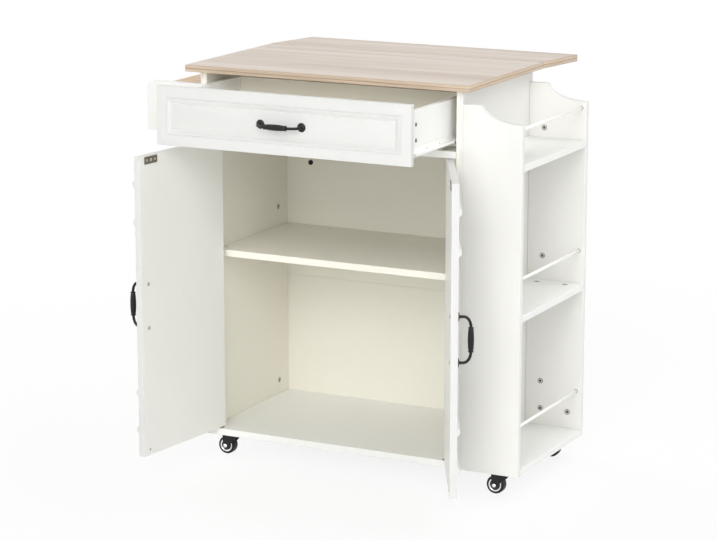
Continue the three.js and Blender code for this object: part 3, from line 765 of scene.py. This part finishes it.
class IslandDoors(bpy.types.Operator):
    """Doors: one pressed skin over the outer face, with ribs and a long frame, flat inside."""

    bl_idname = "island.doors"
    bl_label = "Doors"

    def execute(self, context):
        x0, x1 = DOOR_X
        xs = door_lines([x0 + 40, x0 + 48, x1 - 48], x0, x1, 14.0, 1.6, 13.0)
        rib_ends = [x1 - 2.8, x1 - 2.2, x1 - 1.6, x1 - 1.1, x1 - 0.8]
        xs = np.unique(np.round(np.concatenate([xs, rib_ends]), 3))
        xs = np.concatenate([[x0], xs, [x1]])
        zs = door_lines([*DOOR_RIBS, 184, DOOR_HIGH - 184], 0.0, DOOR_HIGH, 16.0, 1.3, 13.0)
        # Outer faces in the darker front white, painted shade; inner faces lighter, painted bounce
        # light.
        coats = ["front_white", "door_inner"]
        for side in SIDES:
            node = f"door_{side}"
            shape = self.skin(xs, zs).moved(door_frame(side))
            shape.build(f"{node}_pressed", f"{side}_door", "white_board", coats, [node], 40.0)
        return {"FINISHED"}

    def skin(self, xs, zs):
        """Closed skin: y = outer face - relief, and near the rim y = the rim's quarter round; the
        outermost lines lie on the inner face, which one flat face closes."""
        x, z = np.meshgrid(xs, zs, indexing="ij")

        def rim(count):
            fall = np.zeros(count)
            fall[[0, -1]] = BOARD
            fall[[1, -2]] = 1.4
            fall[[2, -3]] = 0.4
            return fall

        fall = np.maximum(rim(len(xs))[:, None], rim(len(zs))[None, :])
        y = np.where(fall > 0, DOOR_OUTER + fall, DOOR_OUTER - relief(x, z))
        y = np.minimum(y, DOOR_INNER)
        shape = Shape().grid(np.stack([x, y, z], -1), closed=False)
        number = np.arange(x.size).reshape(x.shape)
        border = [number[0], number[1:, -1], number[-1, -2::-1], number[-2:0:-1, 0]]
        shape.faces.append(np.concatenate(border))
        shape.marks.append(1)
        return shape


# ---- handles ----
def handle_shape():
    """Bow handle as rings carried along its centre line: straight out of a round foot, round a
    quarter ellipse o = 11 + 15.4 sin a, s = 26 + 22 cos a, then along the grip, whose radius is
    6.5 - 1.1 (s / 21)^2 with a collar at each end. Each ring stands square to the line."""
    half = HANDLE_SPREAD / 2
    grip = HANDLE_GRIP / 2
    foot = [(0.0, 9.3), (0.3, 9.7), (0.9, 9.8), (1.5, 9.5), (2.1, 8.7), (2.7, 7.2), (3.1, 5.2)]
    foot += [(3.5, 3.7), (4.2, 3.25), (7.0, 3.1), (9.0, 3.05)]
    rows = [(out, half, radius, 0.0) for out, radius in foot]
    for angle in np.radians(np.linspace(4, 90, 16)):
        out = 11 + (HANDLE_REACH - 11) * math.sin(angle)
        rows.append((out, grip + (half - grip) * math.cos(angle), 3.05, angle))
    collar = [(0.0, 3.6), (0.1, 5.0), (0.6, 5.8), (1.3, 6.1), (2.1, 5.8), (2.7, 5.2), (3.1, 4.8)]
    collar += [(3.6, 4.85), (4.6, 5.3)]
    rows += [(HANDLE_REACH, grip - step, radius, math.pi / 2) for step, radius in collar]
    rows += [(HANDLE_REACH, s, 6.5 - 1.1 * (s / 21) ** 2, math.pi / 2) for s in np.linspace(18, 0, 9)]
    rows = np.array(rows)
    other = rows[:-1][::-1] * [1, -1, 1, -1] + [0, 0, 0, math.pi]
    rows = np.concatenate([rows, other])
    out, along, radius, tilt = (rows[:, i, None] for i in range(4))
    turn = np.linspace(0, 2 * np.pi, 40, endpoint=False)
    across = radius * np.sin(turn)
    y, z = -(out + across * np.sin(tilt)), along + across * np.cos(tilt)
    return Shape().grid(np.stack([radius * np.cos(turn), y, z], -1), caps=True)


class IslandHandles(bpy.types.Operator):
    """Three satin black bow handles."""

    bl_idname = "island.handles"
    bl_label = "Bow handles"

    def execute(self, context):
        x, z = DRAWER_HANDLE
        shape = handle_shape().moved(lambda points: points[:, [2, 1, 0]] * [1, 1, -1])
        self.mount(shape.moved(shifted(x, 2.1 - DRAWER_OPEN, z)), "drawer_handle", "drawer")
        x, z = DOOR_HANDLE
        for side in SIDES:
            shape = handle_shape().moved(shifted(x, DOOR_OUTER - GAP, z)).moved(door_frame(side))
            self.mount(shape, f"door_handle_{side}", f"{side}_door")
        return {"FINISHED"}

    def mount(self, shape, node, body):
        shape.build(f"{node}_bow", body, "black_metal", ["black_satin"], [node], 50.0)


# ---- rods and slides ----
def bar_shape(radius, length, rim=0.5):
    """A round bar along Z with slightly rounded rims."""
    lower = [(0, 0), (radius - rim, 0), (radius, rim)]
    return turned(lower + [(r, length - h) for r, h in reversed(lower)])


def spots(direction, xs, ys, zs):
    """Every point with its x, y and z out of the three lists, all facing one way."""
    return [((x, y, z), direction) for x in xs for y in ys for z in zs]


def both_sides(inset, way, ys, zs):
    """Spots equally far in from the cupboard's left and right faces, which look inwards where way
    is 1 and outwards where it is -1."""
    return spots((way, 0, 0), [inset], ys, zs) + spots((-way, 0, 0), [WIDTH - inset], ys, zs)


def facing(direction):
    """Turns a piece that faces +Z to face the given axis direction."""
    d = np.array(direction, float)
    side = np.cross([0.0, 0.0, 1.0] if abs(d[2]) < 0.9 else [1.0, 0.0, 0.0], d)
    return lambda points: points @ np.array([side, np.cross(d, side), d])


def scattered(places, make, *settings):
    """One shape from the same small piece at many (point, direction) places."""
    whole = Shape()
    for point, direction in places:
        whole.join(make(*settings).moved(facing(direction)).moved(shifted(*point)))
    return whole


class IslandRods(bpy.types.Operator):
    """Rack rods and the towel rod, with a grey ring round each bore painted as the shade in its gap,
    and the drawer slides.
    """

    bl_idname = "island.rods"
    bl_label = "Rods and slides"

    def execute(self, context):
        length = DEPTH - 2 * BOARD - 2 * GAP
        for node, (x, z, radius) in RODS.items():
            bar = bar_shape(radius, length).moved(along_y).moved(shifted(x, BOARD + GAP, z))
            bar.build(f"{node}_round", "carcass", "white_metal", ["white_metal"], [node], 50.0)
            # A thin grey ring on the panel round each rod: painted shade in the bore's gap.
            inner, outer, proud = radius + 0.1, radius + 1.0, 0.25
            rim = [(inner, 0), (outer, 0), (outer, proud), (inner, proud), (inner, 0)]
            ends = [((x, BOARD, z), REARWARD), ((x, DEPTH - BOARD, z), FORWARD)]
            bore_shade_rings = scattered(ends, turned, rim)
            bore_shade_rings.build(f"{node}_bores", "carcass", "white_board", ["bore_grey"], (), 50.0)
        dress("white_metal", "slide_rail", "drawer_runner")
        return {"FINISHED"}


# ---- small fastenings ----
def screw_shape(radius, dome=0.35, rim=0.16, rings=12, steps=48):
    """Pan head with a cross recess, on z = 0: z = d sqrt(1 - (r / R)^2) over a short wall, less a
    soft edged recess where min(|x|, |y|) < 0.15 R and max(|x|, |y|) < 0.58 R."""
    r = radius * np.sin(np.linspace(0, np.pi / 2, rings))[:, None]
    a = np.linspace(0, 2 * np.pi, steps, endpoint=False)[None]
    x, y = r * np.cos(a), r * np.sin(a)
    wall = radius * rim
    z = wall + radius * dome * arc(r / radius) + 0 * a
    arm, half = radius * 0.15, radius * 0.58
    near = np.minimum(np.abs(x), np.abs(y))
    far = np.maximum(np.abs(x), np.abs(y))
    recess = (1 - smooth((near - arm) / (arm * 0.7))) * (1 - smooth((far - half) / (arm * 0.9)))
    z = np.maximum(z - radius * 0.34 * recess, 0.05)
    top = np.stack([x, y, z], -1)
    foot = top[-1:] * [1, 1, 0]
    return Shape().grid(np.concatenate([top, foot]), caps=True)


def cam_shape(radius=6.2):
    """Cam lock seen in its bore: a dark gap, a bright rim and a sunk dark dish, the gap and dish
    near black as painted shade. The table has share of the radius, height and finish."""
    rim = [
        (0, 0.25, 1), (0.12, 0.25, 1), (0.4, 0.15, 1), (0.48, 0.6, 0), (0.6, 0.75, 0),
        (0.78, 0.6, 0), (0.82, 0.2, 1), (1, 0.15, 1), (1, 0, 1), (0, 0, 1),
    ]
    return turned([(radius * share, h) for share, h, _ in rim], 40, [mark for *_, mark in rim])


class IslandFastenings(bpy.types.Operator):
    """Screws, cam locks, caps, nails and shelf pins."""

    bl_idname = "island.fastenings"
    bl_label = "Screws, cams and pins"

    def execute(self, context):
        head = sizes().screw_radius
        self.cams()
        self.screws(head)
        for side in SIDES:
            self.door(side, head)
        self.rear()
        self.pins()
        return {"FINISHED"}

    def cams(self):
        rack = [(664, 691), (664, 404), (664, 117), (665, 54), (730, 53)]
        found = [((x, DEPTH - BOARD, z), FORWARD) for x, z in rack]
        found += [((x, BOARD, z), REARWARD) for x, z in rack]
        found += spots(UPWARD, (661.6, 728.4), (38.0, 328.0), [349.5])
        found += both_sides(BOARD, 1, (40.0, 321.0), (47.5, 462.0))
        found += spots(UPWARD, (46.0, 582.0), [16.0], [688.0])
        found += spots(DOWNWARD, [-34.0], (38.0, 328.0), [SIDE_SHELF_LOW])
        # Painted shade: near black in the cams' gap and dish.
        coats = ["plated_steel", "dark_recess"]
        scattered(found, cam_shape).fasten("cam_locks", "carcass", coats, 32.0)
        shape = scattered(both_sides(31.0, -1, [-160.5], (768.0, 735.5)), cam_shape, 4.4)
        shape.fasten("drawer_cam_locks", "drawer", ["aged_steel", "dark_recess"], 32.0)

    def screws(self, head):
        """Screws of the slides and of the drawer's handle."""
        found = both_sides(29.4, -1, (-112.0, -51.5, 40.0, 110.0), [712.0])
        scattered(found, screw_shape, head * 0.8).fasten("slide_screws", "drawer")
        found = both_sides(16.7, 1, (44.0, 140.0, 236.0, 320.0), [713.0])
        scattered(found, screw_shape, head * 0.8).fasten("rail_screws")
        x, z = DRAWER_HANDLE
        found = spots(REARWARD, around(x, HANDLE_SPREAD / 2), [BOARD - DRAWER_OPEN], [z])
        scattered(found, screw_shape, head).fasten("drawer_handle_screws", "drawer")

    def door(self, side, head):
        """Inner face of one door: handle screws, screws and boss of the strike plate, one cap."""
        body, change = f"{side}_door", door_frame(side)
        x, z = DOOR_HANDLE
        found = spots(REARWARD, [x], [DOOR_INNER], around(z, HANDLE_SPREAD / 2))
        shape = scattered(found, screw_shape, head + 0.6).moved(change)
        shape.fasten(f"handle_screws_{side}", body, ["dull_steel"])
        x, y, z = STRIKE
        shape = scattered(spots(REARWARD, around(x, 13.5), [y], [z]), screw_shape, 2.9, 0.03, 0.06)
        boss = [(0, 0.25), (3.2, 0.25), (3.5, 0.15), (3.6, 0), (0, 0)]
        shape.join(scattered([(STRIKE, REARWARD)], turned, boss, 40)).moved(change)
        shape.fasten(f"strike_screws_{side}", body)
        cap = [(0, 0.7), (2.6, 0.6), (3.1, 0.3), (3.2, 0), (0, 0)]
        shape = scattered([((261.0, DOOR_INNER, 13.0), REARWARD)], turned, cap, 40).moved(change)
        shape.build(f"door_cap_{side}", body, "white_plastic", ["dull_steel"], (), 50.0)

    def rear(self):
        """Bolt ends and screws of the leaf's brackets, and the nails of the back."""
        bolt = [(0, 4.2), (2.2, 4.0), (2.6, 3.4), (2.6, 2.4), (5.4, 2.4), (5.8, 2.0), (5.8, 0), (0, 0)]
        shape = scattered(spots(FORWARD, BRACKET_X, [365.9], (563.0, 640.0)), turned, bolt, 30)
        shape.build("bracket_bolt_ends", "carcass", "black_metal", ["black_plastic"], (), 40.0)
        found = spots(REARWARD, BRACKET_X, [370.8], (563.0, 640.0, 717.0))
        scattered(found, screw_shape, 4.2, 0.02, 0.05).fasten("bracket_screws")
        found = spots(REARWARD, (8.0, 160.0, 314.0, 468.0, 620.0), [BACK_FACE], (8.0, 810.0))
        found += spots(REARWARD, (8.0, 620.0), [BACK_FACE], (150.0, 290.0, 430.0, 570.0, 700.0))
        scattered(found, screw_shape, 3.2, 0.2).fasten("back_nails")

    def pins(self):
        """Shelf pins: a short collar in the side board and a tongue under the shelf."""
        pin = [(0, 0), (4.2, 0), (4.2, 1.4), (2.5, 1.6), (2.5, 7.0), (2.2, 7.4), (0, 7.4)]
        found = both_sides(BOARD, 1, (70.0, 325.0), [399.3])
        scattered(found, turned, pin, 32).fasten("shelf_pins", angle=40.0)


# ---- fittings ----
class IslandFittings(bpy.types.Operator):
    """Pivot pins and plates, strike plates, catches and the leaf's folding brackets."""

    bl_idname = "island.fittings"
    bl_label = "Metal fittings"

    def execute(self, context):
        dress("plated_steel", "pivot_pin", "leaf_wall_arm", "leaf_shelf_arm", "leaf_strut")
        dress("aged_steel", "strike_plate")
        dress("white_plastic", "magnetic_catch")
        for side, (x, *_) in DOOR_PIVOT.items():
            foot = plate(rounded_rectangle(x - 12, 1, x + 12, 13, 2.5), 1.2, 0.2)
            foot.moved(shifted(z=BOARD + 0.15))
            foot.build(f"pivot_plate_{side}", "carcass", "plated_steel", ["yellow_zinc"])
        return {"FINISHED"}


# ---- casters ----
def wheel_shape():
    """Wheel about Z: tread with rounded shoulders, a step, a bright ring and a hollow round the hub.
    The table has radius, height and finish: 0 is the tread, 1 the hub and 2 the ring."""
    side = [
        (3.1, 11.4, 1), (6.3, 11.4, 1), (6.7, 11.0, 1), (7.3, 8.8, 1), (7.6, 8.6, 1), (9.0, 8.6, 1),
        (10.6, 8.7, 1), (11.2, 9.2, 2), (11.9, 10.0, 2), (12.9, 10.4, 2), (13.9, 10.3, 2),
        (14.5, 9.7, 1), (15.0, 9.3, 0), (16.4, 9.5, 0), (17.6, 9.4, 0), (18.6, 9.0, 0),
        (19.4, 8.3, 0), (19.85, 7.3, 0), (20.0, 6.0, 0),
    ]
    upper = [(r, h) for r, h, _ in side]
    profile = upper + [(r, -h) for r, h in upper[::-1]] + [upper[0]]
    marks = [m for *_, m in side[:-1]]
    return turned(profile, marks=marks + [0] + marks[::-1] + [1, 1])


class IslandCasters(bpy.types.Operator):
    """Casters: wheels with a bright ring, domed axle ends and plate screws."""

    bl_idname = "island.casters"
    bl_label = "Casters"

    def execute(self, context):
        dress("black_satin", "caster_plate", "caster_fork")
        dome = [(0, 3.1), (1.6, 2.95), (3.0, 2.4), (4.1, 1.5), (4.7, 0.4), (4.7, 0), (0, 0)]
        coats = ["tyre_black", "black_plastic", "chrome"]
        for tag, (x, y) in CASTERS.items():
            axle_x, node = x - CASTER_TRAIL, f"caster_wheel_{tag}"
            wheel = wheel_shape().moved(along_y).moved(shifted(axle_x, y, AXLE_Z))
            wheel.build(f"caster_tyre_{tag}", f"wheel_{tag}", "wheel_black", coats, [node], 40.0)
            front, rear = around(y, 13.95)
            ends = [((axle_x, front, AXLE_Z), FORWARD), ((axle_x, rear, AXLE_Z), REARWARD)]
            domes = scattered(ends, turned, dome, 40)
            domes.fasten(f"caster_domes_{tag}", f"fork_{tag}", ["chrome"])
            heads = spots(DOWNWARD, around(x, 14.0), around(y, 14.0), [-2.3])
            scattered(heads, screw_shape, 3.3).fasten(f"caster_screws_{tag}")
        return {"FINISHED"}


# ---- stage ----
LIGHTS = {
    # name: (azimuth, elevation) in degrees from the front, distance and size in metres, level
    "key": (20, 32, 8.5, 4.1, 0.305),
    "front": (5, 18, 8.5, 5.1, 0.264),
    "side": (62, 16, 9.5, 5.4, 0.229),
    "right": (115, 48, 8.5, 5.0, 0.26),
    "rear": (150, 60, 8.5, 5.0, 0.21),
    "left": (-104, 27, 8.5, 5.0, 0.42),
    "fill": (-60, 20, 8.5, 5.0, 0.121),
}
SEEN_RAYS = ("Is Camera Ray", "Is Glossy Ray", "Is Transmission Ray")
SKY_LEVEL = 0.15
AIM_HEIGHT = 0.42
CAMERA_PLACE = (2.5076, -4.9573, 1.6721)
CAMERA_DOWN, CAMERA_TURN = 12.648, 26.859
CAMERA_LENS = 129.6


def add_light(name, azimuth, elevation, distance, size, level):
    """A square soft lamp that looks at the object's middle from d (sin a cos e, -cos a cos e,
    sin e) and lights a facing surface at the level, 1 being full white: watts = level (pi d)^2."""
    a, e = math.radians(azimuth), math.radians(elevation)
    data = bpy.data.lights.new(name, "AREA")
    data.shape, data.size = "SQUARE", size
    data.energy = level * (math.pi * distance) ** 2
    lamp = add_object(name, data)
    away, up = distance * math.cos(e), distance * math.sin(e)
    lamp.location = (away * math.sin(a), -away * math.cos(a), AIM_HEIGHT + up)
    lamp.rotation_euler = (math.pi / 2 - e, 0.0, a)


class IslandStage(bpy.types.Operator):
    """Pale floor, soft light, plain white background and the camera."""

    bl_idname = "island.stage"
    bl_label = "Stage"

    def execute(self, context):
        self.floor()
        self.world(context)
        for name, settings in LIGHTS.items():
            add_light(name, *settings)
        self.camera(context)
        return {"FINISHED"}

    def floor(self):
        """A flat floor whose white shows as plain background where no shadow falls."""
        span = 30.0
        mesh = bpy.data.meshes.new("floor")
        corners = [(-span, -span, 0), (span, -span, 0), (span, span, 0), (-span, span, 0)]
        mesh.from_pydata(corners, [], [(0, 1, 2, 3)])
        made = Finish("floor_white", (0.93, 0.93, 0.925), 0.6)
        seen, glossy, passing = (made.node("ShaderNodeLightPath", output=ray) for ray in SEEN_RAYS)
        glow = made.node("ShaderNodeEmission", None, {"Color": (1.0, 1.0, 1.0), "Strength": 1.0})
        length = {"operation": "LENGTH"}
        away = made.node("ShaderNodeVectorMath", length, {0: made.place()}, output="Value")
        share = (seen + glossy + passing).least(1.0) * (0.86 + away.step(0.7, 2.4) * 0.14)
        shader = Socket(made, made.shader.outputs[0])
        mixed = made.node("ShaderNodeMixShader", None, {0: share, 1: shader, 2: glow})
        made.tree.links.new(mixed.output, made.tree.nodes["Material Output"].inputs["Surface"])
        mesh.materials.append(made.material)
        add_object("floor", mesh)

    def world(self, context):
        """White where the camera looks, and an even soft sky for the light."""
        context.scene.world = bpy.data.worlds.new("studio")
        context.scene.world.use_nodes = True
        tree = context.scene.world.node_tree
        back = tree.nodes["Background"]
        back.inputs["Color"].default_value = (1.0, 1.0, 1.0, 1.0)
        path = tree.nodes.new("ShaderNodeLightPath")
        total = path.outputs[SEEN_RAYS[0]]
        for name in SEEN_RAYS[1:]:
            most = tree.nodes.new("ShaderNodeMath")
            most.operation = "MAXIMUM"
            tree.links.new(total, most.inputs[0])
            tree.links.new(path.outputs[name], most.inputs[1])
            total = most.outputs[0]
        level = tree.nodes.new("ShaderNodeMapRange")
        level.inputs["To Min"].default_value = SKY_LEVEL
        level.inputs["To Max"].default_value = 1.0
        tree.links.new(total, level.inputs["Value"])
        tree.links.new(level.outputs[0], back.inputs["Strength"])

    def camera(self, context):
        """The photo's camera, fitted together with the object's sizes."""
        data = bpy.data.cameras.new("camera")
        data.sensor_width, data.lens, data.clip_end = 36.0, CAMERA_LENS, 100.0
        camera = add_object("camera", data)
        camera.location = CAMERA_PLACE
        camera.rotation_euler = (math.radians(90 - CAMERA_DOWN), 0.0, math.radians(CAMERA_TURN))
        context.scene.camera = camera
        context.scene.view_settings.view_transform = "Standard"


# ---- panel and running ----
OPERATORS = (
    IslandStage, IslandBoards, IslandWorktop, IslandEndPanels, IslandDrawerFront, IslandDoors,
    IslandHandles, IslandRods, IslandFastenings, IslandFittings, IslandCasters,
)


class IslandPanel(bpy.types.Panel):
    """Lists the settings and the operators in the order they run."""

    bl_idname = "VIEW3D_PT_island"
    bl_label = "Kitchen Island"
    bl_space_type = "VIEW_3D"
    bl_region_type = "UI"
    bl_category = "Island"

    def draw(self, context):
        for settings in (context.scene.island_sizes, context.scene.island_colours):
            for name in settings.__annotations__:
                self.layout.prop(settings, name, text=name.replace("_", " ").capitalize())
        for operator in OPERATORS:
            self.layout.operator(operator.bl_idname)


def register():
    for item in (IslandSizes, IslandColours, *OPERATORS, IslandPanel):
        bpy.utils.register_class(item)
    bpy.types.Scene.island_sizes = bpy.props.PointerProperty(type=IslandSizes)
    bpy.types.Scene.island_colours = bpy.props.PointerProperty(type=IslandColours)


def unregister():
    del bpy.types.Scene.island_sizes
    del bpy.types.Scene.island_colours
    for item in (IslandPanel, *reversed(OPERATORS), IslandColours, IslandSizes):
        bpy.utils.unregister_class(item)


def main():
    register()
    for operator in OPERATORS:
        getattr(bpy.ops.island, operator.bl_idname.split(".")[1])()


if __name__ == "__main__":
    main()
